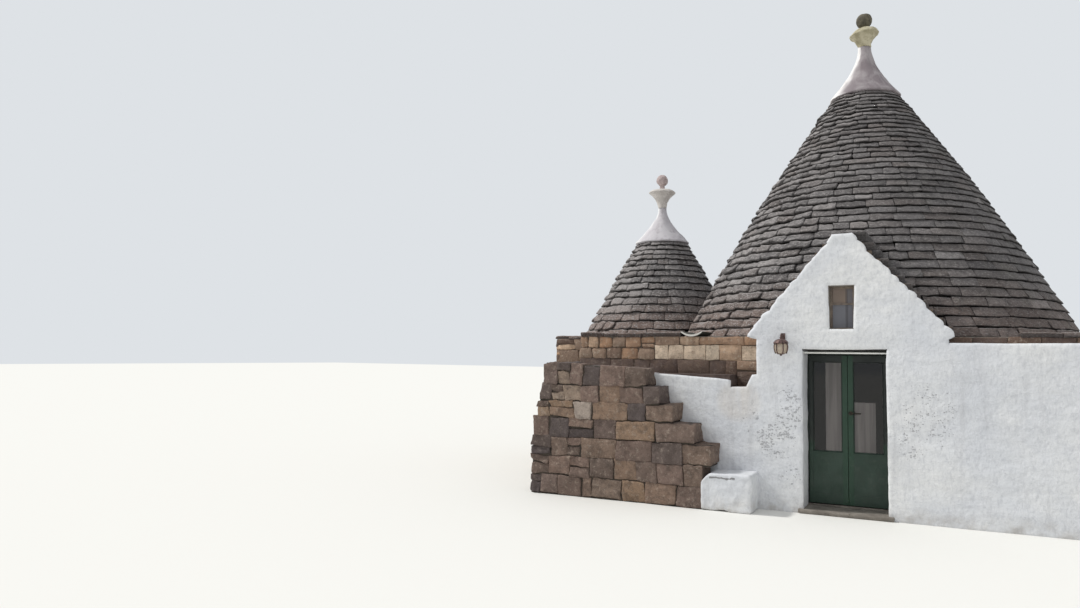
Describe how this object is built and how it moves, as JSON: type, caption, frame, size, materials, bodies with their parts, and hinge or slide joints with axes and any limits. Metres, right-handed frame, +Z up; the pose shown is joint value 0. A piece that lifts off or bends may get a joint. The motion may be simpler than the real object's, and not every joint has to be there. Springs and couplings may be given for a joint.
{
  "type": "trullo house",
  "caption": "Small dry-stone house with two corbelled cone roofs, a gabled limewashed front, a two-leaf glazed door and an outside stair.",
  "frame": {"origin": "on the ground under the tip of the main cone, in the underside of the room floor", "axes": "+Z up, +Y from the door to the back wall, +X to the right as seen from the front"},
  "size_m": [7.13, 6.025, 6.911],
  "materials": {
    "limewash": "limewashed rubble masonry, brushed, flaking in places",
    "tan_limestone": "bare tan limestone blocks with brown stains",
    "grey_slabs": "weathered grey-brown limestone slabs",
    "stair_stone": "rough squared limestone, brown and grey",
    "floor_stone": "worn pale limestone paving",
    "pinnacle_stone": "carved limestone with lichen",
    "green_paint": "dark green gloss paint on wood",
    "clear_glass": "clear window glass",
    "window_timber": "weathered brown timber",
    "dark_iron": "dark rusty wrought iron",
    "white_bar": "white enamel",
    "handle_metal": "dulled brass"
  },
  "bodies": {
    "house": {"alcove_arch": "tan_limestone", "alcove_floor": "floor_stone", "door_frame": "green_paint", "door_hinges": "dark_iron", "door_lintel": "limewash", "door_pier_left": "limewash", "door_pier_right": "limewash", "door_threshold": "floor_stone", "door_top_bar": "white_bar", "front_wall_left": "tan_limestone", "front_wall_right": "tan_limestone", "gable_head": "limewash", "lantern_bracket": "dark_iron", "lantern_glass": "clear_glass", "low_white_wall": "limewash", "main_ball": "pinnacle_stone", "main_cap": "limewash", "main_cone_lower": "grey_slabs", "main_cone_middle": "grey_slabs", "main_cone_upper": "grey_slabs", "main_cup": "pinnacle_stone", "main_vault": "tan_limestone", "main_wall_back": "tan_limestone", "main_wall_left": "tan_limestone", "main_wall_right": "tan_limestone", "room_floor": "floor_stone", "shoulder_wall_right": "limewash", "small_ball": "pinnacle_stone", "small_cap": "limewash", "small_cone": "grey_slabs", "small_cup": "pinnacle_stone", "small_vault": "tan_limestone", "small_wall_back": "tan_limestone", "small_wall_front": "tan_limestone", "small_wall_left": "tan_limestone", "stair_course_1": "stair_stone", "stair_course_2": "stair_stone", "stair_course_3": "stair_stone", "stair_course_4": "stair_stone", "stair_course_5": "stair_stone", "stair_course_6": "stair_stone", "step_block": "limewash", "valley_gutter": "floor_stone", "window_frame": "window_timber", "window_glass": "clear_glass"},
    "left_leaf": {"door_leaf_left": "green_paint", "door_glass_left": "clear_glass"},
    "right_leaf": {"door_leaf_right": "green_paint", "door_glass_right": "clear_glass", "door_lever_roses": "handle_metal"},
    "lever": {"door_lever": "handle_metal"}
  },
  "joints": [
    {"name": "left_leaf_hinge", "type": "hinge", "parent": "house", "child": "left_leaf", "pos_m": [-0.4345, -2.563, 0.9], "axis": [0, 0, 1], "range_deg": [0, 90]},
    {"name": "right_leaf_hinge", "type": "hinge", "parent": "house", "child": "right_leaf", "pos_m": [0.4345, -2.563, 0.9], "axis": [0, 0, -1], "range_deg": [0, 90]},
    {"name": "lever_spindle", "type": "hinge", "parent": "right_leaf", "child": "lever", "pos_m": [0.031, -2.5995, 1.13], "axis": [0, 1, 0], "range_deg": [0, 40]}
  ]
}
